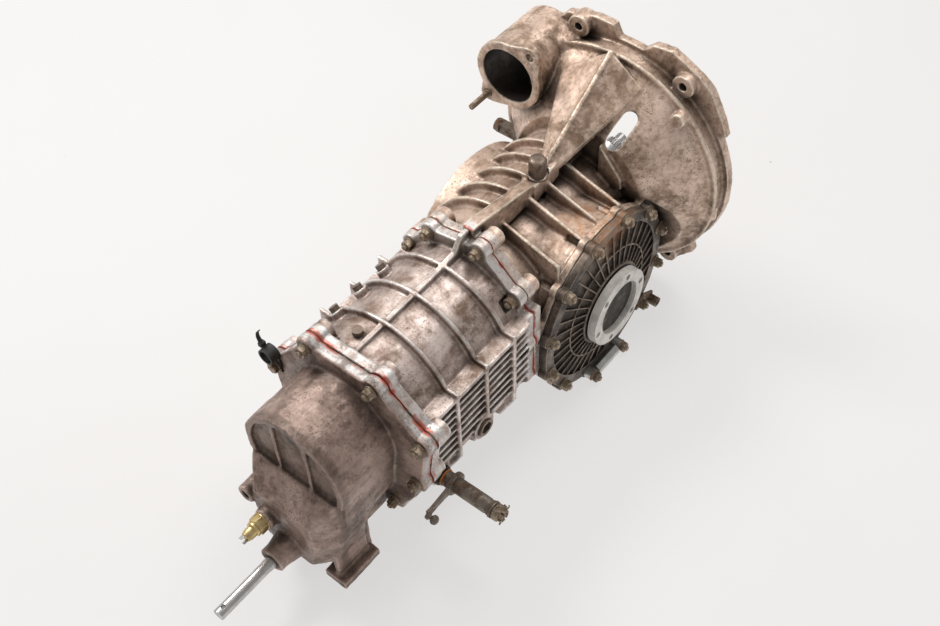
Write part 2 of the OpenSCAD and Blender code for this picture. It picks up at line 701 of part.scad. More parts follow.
// ---------- gear train ----------

module input_shaft() color("#c3c5c8") {
    xbar(0, [0, 0], 7.5, 16);
    yz(16, 28) spur(22, 1.05, 0);
    xbar(44, [0, 0], 12, 256);
    xbar(300, [0, 0], input_r, 322);
    drive_gear(first);
    drive_gear(second);
    yz(rev_x, rev_w) spur(rev_teeth[0], rev_m, atan2(idler_z, idler_y));
}
module drive_gears() color("#b2b5b9") for (g = [third, fourth, fifth]) difference() {
    drive_gear(g);
    xbar(g[2] - 1, [0, 0], input_r + 0.02, gear_w + 2);
}
module pinion_shaft() color("#b2b5b9") {
    translate([diff_x, 0, out_z]) rotate([90, 0, 90])
        bevel(pinion_teeth, pinion_pitch_r, ring_pitch_r, 3, 3.6, 0.7, 1, 0);
    xbar(diff_x + ring_pitch_r * 0.99, [0, out_z], 14, 10);
    xbar(284, [0, out_z], 20, 38);
    xbar(322, [0, out_z], shaft_r, 296);
}
module synchro_hubs() color("#8f9398") for (x = [hub_12_x, hub_34_x, hub_5r_x])
    xring(x - 14, [0, out_z], hub_r, shaft_r + 0.02, 28);
module first_gear() color("#a9adb2") free_gear(first, 1);
module second_gear() color("#a9adb2") free_gear(second, -1);
module third_gear() color("#a9adb2") free_gear(third, 1);
module fourth_gear() color("#a9adb2") free_gear(fourth, -1);
module fifth_gear() color("#a9adb2") free_gear(fifth, 1);

// reverse train: the idler's gap faces the input pinion, and the driven gear follows its phase
idler_to_input = atan2(-idler_z, -idler_y);
idler_to_out = atan2(out_z - idler_z, -idler_y);
idler_pitch = 360 / rev_teeth[1];
idler_a0 = idler_to_input + idler_pitch / 2;
idler_phase = (idler_to_out - idler_a0) / idler_pitch;
idler_offset = round(idler_phase) - idler_phase;
rev_pitch = 360 / rev_teeth[2];
rev_gap = idler_to_out + 180 - idler_offset * rev_pitch;
module reverse_idler() color("#a9adb2") difference() {
    translate([0, idler_y, idler_z]) yz(rev_x, rev_w) spur(rev_teeth[1], rev_m, idler_a0);
    xbar(rev_x - 1, [idler_y, idler_z], 7.9 + fit, rev_w + 2);
}
module reverse_gear() color("#a9adb2") difference() {
    union() {
        translate([0, 0, out_z]) yz(rev_x, rev_w) spur(rev_teeth[2], rev_m, rev_gap + rev_pitch / 2);
        xbar(rev_x - 4, [0, out_z], 29.5, 4);
    }
    xbar(rev_x - 5, [0, out_z], shaft_r + fit, rev_w + 10);
}
module sleeve(x) difference() {
    xbar(x - 8, [0, out_z], sleeve_r, 16);
    xbar(x - 9, [0, out_z], hub_r + fit, 18);
    xring(x - 3.3, [0, out_z], sleeve_r + 1, groove_r, 6.6);
}
module sleeve_1_2() color("#9da1a6") sleeve(hub_12_x);
module sleeve_3_4() color("#9da1a6") sleeve(hub_34_x);
module sleeve_5_r() color("#9da1a6") sleeve(hub_5r_x);

// fork, its rail and the slotted dog that the selector finger moves
module shift_fork(x, rail, rail_x, dog_y) {
    yz(x - 3, 6) difference() {
        translate([0, out_z]) circle(r = 54);
        translate([0, out_z]) circle(r = groove_r + 0.3);
        translate([-60, out_z - 12]) square([120, 80]);
    }
    xbar(rail_x, rail, rail_r, 630 - rail_x);
    xbar(x - 9, rail, 8, 18);
    dog_lo = dog_y - 4.5;
    box([622, min(dog_lo, rail[0] - 3), rail[1] - 2], [630, max(dog_lo + 9, rail[0] + 3), -117]);
    difference() {
        box([622, dog_lo, -127], [652, dog_lo + 9, -116]);
        box([636, dog_lo - 1, -128], [644, dog_lo + 10, -119.5]);
    }
}
module shift_fork_1_2() color("#c9a25e") shift_fork(hub_12_x, rail_12, 380, -14);
module shift_fork_3_4() color("#c9a25e") shift_fork(hub_34_x, rail_34, 458, 0);
module shift_fork_5_r() color("#c9a25e") shift_fork(hub_5r_x, rail_5r, 506, 14);
module selector_guide() color("#9b9ea2") xring(653, [0, rod_z], 12, rod_guided_r + fit, 14);
module selector_rod() color("#d9d9da") {
    difference() {
        union() {
            xbar(635, [0, rod_z], rod_guided_r, 71);
            xbar(706, [0, rod_z], rod_r, rod_end_x - 706);
        }
        zbar([rod_end_x - 9, 0, rod_z - 20], 3, 40);
    }
    box([637, -2.5, rod_z], [643, 2.5, -121]);
}

// ---------- differential ----------

module diff_case() color("#8f9398") difference() {
    union() {
        on_axle() rotate_extrude() polygon([[0, -58], [30, -58], [44, -40], [46, -20], [46, 40],
                                            [72, 40], [72, 50], [44, 50], [30, 60], [0, 60]]);
        ybar(-82, 22, 26);
        ybar(58, 22, 24);
    }
    on_axle() rotate_extrude() polygon([[0, -31], [30, -31], [37, -20], [37, 20], [30, 31], [0, 31]]);
    ybar(-90, 14, 180);
    // openings at both sides for fitting the gears
    translate([diff_x - 60, 0, out_z]) rotate([0, 90, 0]) cylinder(r = 24, h = 120);
    zbar([diff_x, 0, out_z - 50], 6 + 0.02, 100);
    for (a = [0 : 36 : 324]) rotate_bolt(a) cylinder(r = 4.2, h = 20);
}
module rotate_bolt(a) { on_axle() rotate(a) translate([64, 0, 38]) children(); }
// crown wheel with its bolts
module ring_gear() color("#a2a6ab") {
    difference() {
        union() {
            intersection() {
                on_axle()
                    bevel(ring_teeth, ring_pitch_r, pinion_pitch_r, 3, 3.6, 0.62, 1.25, 180 / ring_teeth);
                yring(5, 91, 60, 35);
            }
            on_axle() rotate_extrude($fn = 96)
                polygon([[47, 18], [60, 18], [62, 16.6], [91, 24.2], [91, 40], [47, 40]]);
        }
        for (a = [0 : 36 : 324]) rotate_bolt(a) translate([0, 0, -14]) cylinder(r = 4, h = 17);
    }
    for (a = [0 : 36 : 324]) rotate_bolt(a) {
        translate([0, 0, -12]) cylinder(r = 3.9, h = 26);
        translate([0, 0, 12]) cylinder(r = 7, h = 5, $fn = 6);
    }
}
module spider_pin() color("#b9bcc0") zbar([diff_x, 0, out_z - 45], 6, 90);
module spider(side) translate([diff_x, 0, out_z]) rotate([side > 0 ? 0 : 180, 0, 0]) difference() {
    union() {
        bevel(spider_teeth, spider_pitch_r, side_pitch_r, 1.6, 2.5, 0.62, 1, 90 + 180 / spider_teeth);
        translate([0, 0, side_pitch_r]) cylinder(r = 11.5, h = 5);
    }
    cylinder(r = 6 + fit, h = 60);
}
module upper_spider_gear() color("#9da1a6") spider(1);
module lower_spider_gear() color("#9da1a6") spider(-1);
module side_gear(flip) on_axle(flip) difference() {
    union() {
        bevel(side_teeth, side_pitch_r, spider_pitch_r, 1.6, 2.5, 0.62, 1, 90);
        translate([0, 0, spider_pitch_r]) cylinder(r = 19, h = 16);
    }
    cylinder(r = 10.02, h = 60);
}
module left_side_gear() color("#9da1a6") side_gear(false);
module right_side_gear() color("#9da1a6") side_gear(true);
// drive flange with a dished face, its neck and the splined stub
module output_flange(flip) on_axle(flip) difference() {
    union() {
        translate([0, 0, flange_face_y - 11.5]) cylinder(r = flange_r, h = 11.5);
        translate([0, 0, 84]) cylinder(r = 26, h = flange_face_y - 90);
        translate([0, 0, 30]) cylinder(r = 13.9, h = 56);
        translate([0, 0, 14]) cylinder(r = 10, h = 20);
    }
    translate([0, 0, flange_face_y - 7]) cylinder(r = 38, h = 20);
    for (a = [0 : 60 : 300]) rotate(a + (flip ? -12 : 12)) translate([flange_bolt_r, 0, flange_face_y - 15])
        cylinder(r = 4.5, h = 20);
}
module left_output_flange() color("#cfc8bf") output_flange(false);
module right_output_flange() color("#cfc8bf") output_flange(true);

// ---------- clutch release and throttle cross shaft ----------

module clutch_fork() color("#8d8f92") difference() {
    union() {
        zbar([78, -62, -13], 11, 26);
        box([72, -148, -8], [84, -66, 8]);
        ybar(-150, 9, 8, [78, 0]);
        // yoke and the prongs either side of the guide tube
        box([61, -62, -30], [69, -46, 30]);
        for (s = [-1, 1]) box([61, -62, s * 26 - 4], [69, 4, s * 26 + 4]);
    }
    zbar([78, -62, -40], 6 + fit, 80);
}
module release_bearing() color("#a2a6ab") {
    xring(44, [0, 0], 30, 17.5 + fit, 13);
    xring(57, [0, 0], 32, 17.5 + fit, 2.5);
}
module throttle_lever() color("#7a736c") {
    at = [lever_x, lever_z];
    yring(101, 10, 5.9 + fit, 71, at);
    yring(114, 15, 9, 6, at);
    difference() {
        union() {
            box([lever_x + 9, 115, lever_z - 5], [lever_x + 52, 119, lever_z + 5]);
            ybar(115, 8, 4, [lever_x + 52, lever_z]);
        }
        ybar(100, 9.5, 30, at);
    }
    ybar(119, 3.5, 6, [lever_x + 52, lever_z]);
    translate([lever_x + 52, 128, lever_z]) sphere(r = 6);
}

bell_housing();
starter_mount();
main_housing();
gear_housing();
nose_cover();
side_cover();
side_cover_gasket();
rear_joint_gasket();
front_joint_gasket();
side_cover_nuts();
rear_joint_nuts();
front_joint_nuts();
cover_spacers();
wire_bracket();
top_plug();
oil_plugs();
detent_plugs();
reverse_switch();
cable_clip();
clip_bolt();
starter_stud();
shaft_seals();
shaft_bearings();
diff_bearings();
release_guide_tube();
fork_pivot();
cross_shaft();
cross_shaft_nut();
idler_shaft();
input_shaft();
drive_gears();
pinion_shaft();
synchro_hubs();
first_gear();
second_gear();
third_gear();
fourth_gear();
fifth_gear();
reverse_gear();
reverse_idler();
sleeve_1_2();
sleeve_3_4();
sleeve_5_r();
shift_fork_1_2();
shift_fork_3_4();
shift_fork_5_r();
selector_guide();
selector_rod();
diff_case();
ring_gear();
spider_pin();
upper_spider_gear();
lower_spider_gear();
left_side_gear();
right_side_gear();
left_output_flange();
right_output_flange();
clutch_fork();
release_bearing();
throttle_lever();
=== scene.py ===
"""Looks of the manual transaxle: castings, fasteners, shafts, light and camera."""

import json
import math

import bmesh
import bpy
from mathutils import Matrix, Vector


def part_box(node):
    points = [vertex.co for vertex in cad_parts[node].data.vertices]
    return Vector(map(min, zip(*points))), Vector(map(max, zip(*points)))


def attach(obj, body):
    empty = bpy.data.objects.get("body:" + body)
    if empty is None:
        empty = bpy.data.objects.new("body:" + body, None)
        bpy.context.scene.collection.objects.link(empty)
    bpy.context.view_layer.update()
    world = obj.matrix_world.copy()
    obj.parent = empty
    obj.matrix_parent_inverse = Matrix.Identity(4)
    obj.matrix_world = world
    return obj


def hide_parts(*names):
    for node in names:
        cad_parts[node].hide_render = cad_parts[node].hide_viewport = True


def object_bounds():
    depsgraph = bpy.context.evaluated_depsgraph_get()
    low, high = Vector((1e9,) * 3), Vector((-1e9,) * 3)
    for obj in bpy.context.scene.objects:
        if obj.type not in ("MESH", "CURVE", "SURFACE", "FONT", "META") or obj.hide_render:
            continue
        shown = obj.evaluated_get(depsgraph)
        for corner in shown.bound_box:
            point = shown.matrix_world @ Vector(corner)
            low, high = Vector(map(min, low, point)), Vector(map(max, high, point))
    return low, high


MM = 0.001

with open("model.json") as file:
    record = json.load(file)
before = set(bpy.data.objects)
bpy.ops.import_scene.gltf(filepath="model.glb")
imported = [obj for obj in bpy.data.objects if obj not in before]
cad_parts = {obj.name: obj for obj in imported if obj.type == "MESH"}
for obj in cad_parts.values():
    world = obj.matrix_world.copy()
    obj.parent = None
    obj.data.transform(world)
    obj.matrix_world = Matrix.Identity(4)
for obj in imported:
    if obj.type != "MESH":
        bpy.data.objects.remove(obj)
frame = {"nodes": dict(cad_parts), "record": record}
cad_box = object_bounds()
NODES = frame["nodes"]
RECORD = frame["record"]
BODY_OF = {n: b for b, members in RECORD["behaviour"]["bodies"].items() for n in members}
SLOT_OF = {s["node"]: s["material_slot"] for s in RECORD["subparts"]}
MOUNTS = {m["name"]: Vector(m["pos_m"]) for m in RECORD["mounts"]}

# ---------- places taken from the frame ----------
REAR_JOINT_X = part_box("rear_joint_gasket")[0].x
FRONT_JOINT_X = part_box("front_joint_gasket")[0].x
COVER_FACE_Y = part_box("wire_bracket")[0].y
AXLE = MOUNTS["left_flange_bolts"]
FLOOR_Z = cad_box[0][2]


# ---------- materials ----------
class Paint:
    """One procedural material, built from small node helpers in row-frame coordinates."""

    def __init__(self, name):
        self.mat = bpy.data.materials.new(name)
        self.mat.use_nodes = True
        self.tree = self.mat.node_tree
        self.bsdf = self.tree.nodes["Principled BSDF"]
        self.coord = self.new("ShaderNodeTexCoord").outputs["Object"]

    def new(self, kind, **values):
        n = self.tree.nodes.new(kind)
        for key, value in values.items():
            setattr(n, key, value)
        return n

    def plug(self, value, socket):
        if isinstance(value, bpy.types.NodeSocket):
            self.tree.links.new(value, socket)
        elif socket.type == "RGBA" and not isinstance(value, (int, float)):
            socket.default_value = (*value[:3], 1)
        elif socket.type == "RGBA":
            socket.default_value = (value, value, value, 1)
        else:
            socket.default_value = value

    def noise(self, scale, detail=4.0, rough=0.6, warp=0.0):
        n = self.new("ShaderNodeTexNoise")
        self.plug(self.coord, n.inputs["Vector"])
        n.inputs["Scale"].default_value = scale
        n.inputs["Detail"].default_value = detail
        n.inputs["Roughness"].default_value = rough
        n.inputs["Distortion"].default_value = warp
        return n.outputs["Fac"]

    def cells(self, scale):
        """Distance to the nearest of a set of scattered points."""
        n = self.new("ShaderNodeTexVoronoi", feature="F1")
        self.plug(self.coord, n.inputs["Vector"])
        n.inputs["Scale"].default_value = scale
        return n.outputs["Distance"]

    def ramp(self, fac, *stops):
        n = self.new("ShaderNodeValToRGB")
        self.plug(fac, n.inputs["Fac"])
        marks = n.color_ramp.elements
        while len(marks) < len(stops):
            marks.new(0.5)
        for mark, (at, value) in zip(marks, stops):
            mark.position = at
            colour = (value,) * 3 if isinstance(value, (int, float)) else value
            mark.color = (*colour, 1)
        return n.outputs["Color"]

    def mix(self, fac, a, b, blend="MIX"):
        n = self.new("ShaderNodeMix", data_type="RGBA", blend_type=blend)
        self.plug(fac, n.inputs[0])
        self.plug(a, n.inputs[6])
        self.plug(b, n.inputs[7])
        return n.outputs[2]

    def math(self, op, a, b=0.0):
        n = self.new("ShaderNodeMath", operation=op, use_clamp=False)
        self.plug(a, n.inputs[0])
        self.plug(b, n.inputs[1])
        return n.outputs[0]

    def axis(self, letter):
        n = self.new("ShaderNodeSeparateXYZ")
        self.plug(self.coord, n.inputs[0])
        return n.outputs[letter]

    def fade(self, gap, reach, soft):
        """1 while gap is under reach, falling to 0 over soft."""
        n = self.new("ShaderNodeMapRange", clamp=True)
        self.plug(gap, n.inputs["Value"])
        n.inputs["From Min"].default_value = reach
        n.inputs["From Max"].default_value = reach + soft
        n.inputs["To Min"].default_value = 1.0
        n.inputs["To Max"].default_value = 0.0
        return n.outputs[0]

    def band(self, letter, centre, half, soft):
        """1 within half of centre along an axis, falling to 0 over soft."""
        away = self.math("ABSOLUTE", self.math("SUBTRACT", self.axis(letter), centre))
        return self.fade(away, half, soft)

    def ball(self, centre, radius, soft):
        """1 within radius of a point, falling to 0 over soft."""
        gap = self.new("ShaderNodeVectorMath", operation="DISTANCE")
        self.plug(self.coord, gap.inputs[0])
        gap.inputs[1].default_value = centre
        return self.fade(gap.outputs["Value"], radius, soft)

    def radial(self, along, centre, radius, soft):
        """1 within radius of the line through a point along an axis, falling to 0 over soft."""
        flat = self.new("ShaderNodeCombineXYZ")
        for k, letter in enumerate("XYZ"):
            if letter != along:
                self.plug(self.axis(letter), flat.inputs[k])
        gap = self.new("ShaderNodeVectorMath", operation="DISTANCE")
        self.plug(flat.outputs[0], gap.inputs[0])
        gap.inputs[1].default_value = tuple(0 if letter == along else centre[k]
                                            for k, letter in enumerate("XYZ"))
        return self.fade(gap.outputs["Value"], radius, soft)

    def edges(self, radius=1.2 * MM, low=0.02, high=0.25):
        """Outer edges: where a rounded normal differs from the face's own."""
        n = self.new("ShaderNodeBevel", samples=4)
        n.inputs["Radius"].default_value = radius
        own = self.new("ShaderNodeNewGeometry").outputs["Normal"]
        dot = self.new("ShaderNodeVectorMath", operation="DOT_PRODUCT")
        self.plug(n.outputs[0], dot.inputs[0])
        self.plug(own, dot.inputs[1])
        return self.ramp(self.math("SUBTRACT", 1.0, dot.outputs["Value"]), (low, 0.0), (high, 1.0))

    def soft_edge(self, radius=0.5 * MM):
        """The normal of edges broken by a small radius."""
        n = self.new("ShaderNodeBevel", samples=4)
        n.inputs["Radius"].default_value = radius
        return n.outputs[0]

    def crest(self, low, high):
        """Convex places of a dense mesh."""
        return self.ramp(self.new("ShaderNodeNewGeometry").outputs["Pointiness"], (low, 0.0), (high, 1.0))

    def recess(self, reach, low=0.35, high=0.95):
        """Shut-in places, found by ambient occlusion: used to paint shade into recesses, in places together
        with real soiling.
        """
        n = self.new("ShaderNodeAmbientOcclusion", samples=6)
        n.inputs["Distance"].default_value = reach
        return self.ramp(n.outputs["AO"], (low, 1.0), (high, 0.0))

    def bump(self, height, strength, distance, under=None):
        n = self.new("ShaderNodeBump")
        n.inputs["Strength"].default_value = strength
        n.inputs["Distance"].default_value = distance
        self.plug(height, n.inputs["Height"])
        if under is not None:
            self.plug(under, n.inputs["Normal"])
        return n.outputs[0]

    def finish(self, colour, rough, metallic=0.0, normal=None):
        self.plug(colour, self.bsdf.inputs["Base Color"])
        self.plug(rough, self.bsdf.inputs["Roughness"])
        self.plug(metallic, self.bsdf.inputs["Metallic"])
        if normal is not None:
            self.plug(normal, self.bsdf.inputs["Normal"])
        return self.mat


def cast_metal(name, pale, mid, dark, dirt_and_shade, metallic, grime_and_shade, speckle, bands=(), extra=None):
    """Sand-cast aluminium with oxide patches, oily speckles, worn edges, and darkening in recesses that is
    partly real soiling and partly painted shade.
    """
    p = Paint(name)
    patch = p.noise(11, 6, 0.66, 0.6)
    cloud = p.noise(48, 6, 0.7)
    mottle = p.noise(190, 5, 0.75)
    grain = p.noise(620, 3, 0.7)
    colour = p.ramp(patch, (0.36, dark), (0.49, mid), (0.62, pale))
    colour = p.mix(p.ramp(cloud, (0.46, 0.0), (0.60, 0.6)), colour, pale)
    colour = p.mix(p.ramp(cloud, (0.34, 0.65), (0.46, 0.0)), colour, dark)
    shade = p.math("MULTIPLY", p.ramp(mottle, (0.38, 1.0), (0.50, 0.0)), 0.34 * speckle)
    colour = p.mix(shade, colour, dark)
    colour = p.mix(p.ramp(mottle, (0.56, 0.0), (0.68, 0.22)), colour, tuple(min(1, 1.3 * c) for c in pale))
    for band in bands:
        colour = p.mix(p.math("MULTIPLY", band(p), p.ramp(cloud, (0.42, 0.25), (0.56, 0.95))),
                       colour, (0.74, 0.72, 0.70))
    pits = p.math("MULTIPLY", p.ramp(p.cells(300), (0.12, 1.0), (0.34, 0.0)),
                  p.ramp(p.noise(36, 5, 0.7), (0.54 - speckle * 0.10, 0.0), (0.62, 1.0)))
    colour = p.mix(p.math("MULTIPLY", pits, 0.85), colour, dirt_and_shade)
    stain = p.ramp(p.noise(24, 6, 0.72, 0.8), (0.53, 0.0), (0.68, 0.8))
    stain = p.math("MULTIPLY", stain, p.ramp(mottle, (0.36, 1.0), (0.62, 0.35)))
    colour = p.mix(p.math("MULTIPLY", stain, grime_and_shade), colour, dirt_and_shade)
    # painted shade, partly real soiling: recesses within 24 mm are darkened towards the soiling colour
    colour = p.mix(p.math("MULTIPLY", p.recess(24 * MM), min(1.0, grime_and_shade + 0.3)), colour, dirt_and_shade)
    # painted shade: hollows reached within 140 mm are darkened to a quarter of the soiling colour
    colour = p.mix(p.recess(140 * MM, 0.05, 0.42), colour, tuple(c * 0.25 for c in dirt_and_shade))
    worn = p.math("MULTIPLY", p.crest(0.512, 0.56), p.ramp(p.noise(55, 4), (0.36, 0.2), (0.58, 1.0)))
    colour = p.mix(worn, colour, tuple(min(1, 1.3 * c + 0.06) for c in pale))
    if extra:
        colour = extra(p, colour)
    rough = p.ramp(cloud, (0.35, 0.56), (0.65, 0.34))
    rough = p.mix(pits, rough, 0.85)
    skin = p.bump(grain, 0.45, 0.7 * MM)
    skin = p.bump(mottle, 0.25, 1.2 * MM, skin)
    skin = p.bump(cloud, 0.30, 1.8 * MM, skin)
    skin = p.bump(p.math("MULTIPLY", pits, -1.0), 0.4, 0.6 * MM, skin)
    metal = p.mix(p.math("MAXIMUM", pits, stain), metallic, metallic * 0.3)
    return p.finish(colour, rough, metal, skin)


def steel(name, tone, rough, rust=0.0, metallic=0.9, turned=None, oil_and_shade=0.25, extra=None):
    """Machined or plated steel with scratches, dull spots, rust, and darkening in recesses that is partly
    an oily film and partly painted shade.
    """
    p = Paint(name)
    cloud = p.noise(60, 5, 0.6)
    fine = p.noise(900, 2, 0.5)
    dull = tuple(c * 0.62 for c in tone)
    colour = p.mix(p.ramp(cloud, (0.4, 0.0), (0.65, 0.8)), tone, dull)
    brown = p.ramp(p.noise(160, 5, 0.7, 0.4), (0.5, (0.10, 0.055, 0.03)), (0.7, (0.30, 0.13, 0.05)))
    mask = p.ramp(p.noise(85, 6, 0.68, 0.6), (0.62 - 0.3 * rust, 0.0), (0.72 - 0.2 * rust, 1.0))
    mask = p.math("MULTIPLY", mask, min(1.0, 2.2 * rust))
    # painted shade, partly a real oily film: recesses within 6 mm are darkened towards near black
    colour = p.mix(p.math("MULTIPLY", p.recess(6 * MM), oil_and_shade), colour, (0.07, 0.05, 0.04))
    colour = p.mix(mask, colour, brown)
    colour = p.mix(p.math("MULTIPLY", p.edges(), 0.55), colour, tuple(min(1, c * 1.35) for c in tone))
    if extra:
        colour = extra(p, colour)
    shine = p.mix(mask, p.ramp(cloud, (0.3, rough), (0.7, min(1, rough + 0.2))), 0.85)
    skin = p.bump(fine, 0.15, 0.2 * MM, p.soft_edge())
    skin = p.bump(mask, 0.3, 0.3 * MM, skin)
    if turned:
        rings = p.new("ShaderNodeTexWave", wave_type="RINGS", rings_direction=turned)
        mapping = p.new("ShaderNodeMapping")
        p.plug(p.coord, mapping.inputs["Vector"])
        mapping.inputs["Location"].default_value = (-AXLE.x, 0, -AXLE.z)
        p.plug(mapping.outputs[0], rings.inputs["Vector"])
        rings.inputs["Scale"].default_value = 260
        rings.inputs["Distortion"].default_value = 0.6
        skin = p.bump(rings.outputs["Fac"], 0.2, 0.15 * MM, skin)
    return p.finish(colour, shine, p.mix(mask, metallic, 0.1), skin)


def coated(name, tone, other, rough):
    """Rubber, paper, paint or sealant: a mottled, dusty surface with a fine grain and painted shade in
    recesses.
    """
    p = Paint(name)
    cloud = p.noise(90, 5, 0.65)
    colour = p.mix(p.ramp(cloud, (0.38, 0.0), (0.68, 0.5)), tone, other)
    # painted shade: recesses within 5 mm are darkened to about a third of the tone
    colour = p.mix(p.math("MULTIPLY", p.recess(5 * MM), 0.6), colour, tuple(c * 0.35 for c in tone))
    shine = p.ramp(cloud, (0.3, rough), (0.7, min(1, rough + 0.25)))
    skin = p.bump(p.noise(700, 2), 0.25, 0.3 * MM, p.soft_edge())
    return p.finish(colour, shine, 0.0, skin)


def sealant_bead():
    """Grey, dirty joint line with patches of red sealant."""
    p = Paint("red_sealant")
    patches = p.ramp(p.noise(34, 4, 0.6), (0.47, 0.0), (0.54, 1.0))
    grey = p.mix(p.ramp(p.noise(120, 4), (0.4, 0.0), (0.6, 1.0)), (0.34, 0.29, 0.25), (0.12, 0.09, 0.07))
    red = p.mix(p.ramp(p.noise(200, 3), (0.4, 0.0), (0.7, 0.6)), (0.46, 0.07, 0.04), (0.22, 0.05, 0.035))
    skin = p.bump(p.noise(300, 3), 0.4, 0.5 * MM)
    return p.finish(p.mix(patches, grey, red), 0.5, 0.0, skin)


def joint_trace(x, half, colour_of):
    """Cured sealant smeared along a housing joint."""
    def paint(p, colour):
        smear = p.math("MULTIPLY", p.band("X", x, half, 2.5 * MM),
                       p.ramp(p.noise(48, 4, 0.6), (0.47, 0.0), (0.55, 1.0)))
        return p.mix(p.math("MULTIPLY", smear, 0.85), colour, colour_of)
    return paint


SEALANT_RED = (0.50, 0.09, 0.05)


def main_extra(p, colour):
    colour = joint_trace(REAR_JOINT_X, 1.5 * MM, SEALANT_RED)(p, colour)
    rust_spot = p.ball((AXLE.x - 0.01, COVER_FACE_Y - 0.02, AXLE.z + 0.135), 20 * MM, 50 * MM)
    rust_spot = p.math("MULTIPLY", rust_spot, p.ramp(p.noise(60, 6, 0.7), (0.45, 0.0), (0.62, 0.85)))
    colour = p.mix(rust_spot, colour, (0.40, 0.17, 0.05))
    starter = MOUNTS["starter_bore"]
    # painted shade: the inside of the starter bore is painted near black
    starter_bore_shade = p.math("MULTIPLY", p.radial("X", starter, 38.6 * MM, 1.2 * MM),
                  p.band("X", starter.x - 45 * MM, 43 * MM, 3 * MM))
    return p.mix(p.math("MULTIPLY", starter_bore_shade, 0.94), colour, (0.012, 0.010, 0.009))


def gear_extra(p, colour):
    colour = joint_trace(REAR_JOINT_X, 2.0 * MM, SEALANT_RED)(p, colour)
    return joint_trace(FRONT_JOINT_X, 2.5 * MM, SEALANT_RED)(p, colour)


def nose_extra(p, colour):
    colour = joint_trace(FRONT_JOINT_X + 2 * MM, 2.0 * MM, SEALANT_RED)(p, colour)
    # painted shade: a dark band 65 mm back from the nose end paints a recess there
    end = p.band("X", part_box("nose_cover")[1].x - 0.065, 3 * MM, 6 * MM)
    return p.mix(p.math("MULTIPLY", end, 0.45), colour, (0.07, 0.045, 0.03))


def flange_extra(p, colour):
    """Dark, mottled dish inside the bright machined ring."""
    dish = p.radial("Y", AXLE, 37.2 * MM, 0.8 * MM)
    murk = p.ramp(p.noise(75, 5, 0.7), (0.40, (0.016, 0.012, 0.009)), (0.56, (0.05, 0.04, 0.03)),
                  (0.72, (0.26, 0.23, 0.19)))
    return p.mix(p.math("MULTIPLY", dish, 0.97), colour, murk)


def cover_extra(p, colour):
    """Lighter, warmer patches towards the top of the side cover, rust at its top corner."""
    upper_tint = p.ramp(p.axis("Z"), (0.0, 0.0), (0.05, 0.45))
    colour = p.mix(p.math("MULTIPLY", upper_tint, p.ramp(p.noise(40, 5), (0.4, 0.0), (0.6, 1.0))),
                   colour, (0.30, 0.22, 0.16))
    rust_spot = p.ball((AXLE.x - 0.01, COVER_FACE_Y + 0.005, AXLE.z + 0.125), 14 * MM, 40 * MM)
    rust_spot = p.math("MULTIPLY", rust_spot, p.ramp(p.noise(70, 6, 0.7), (0.42, 0.0), (0.58, 0.8)))
    return p.mix(rust_spot, colour, (0.34, 0.14, 0.045))


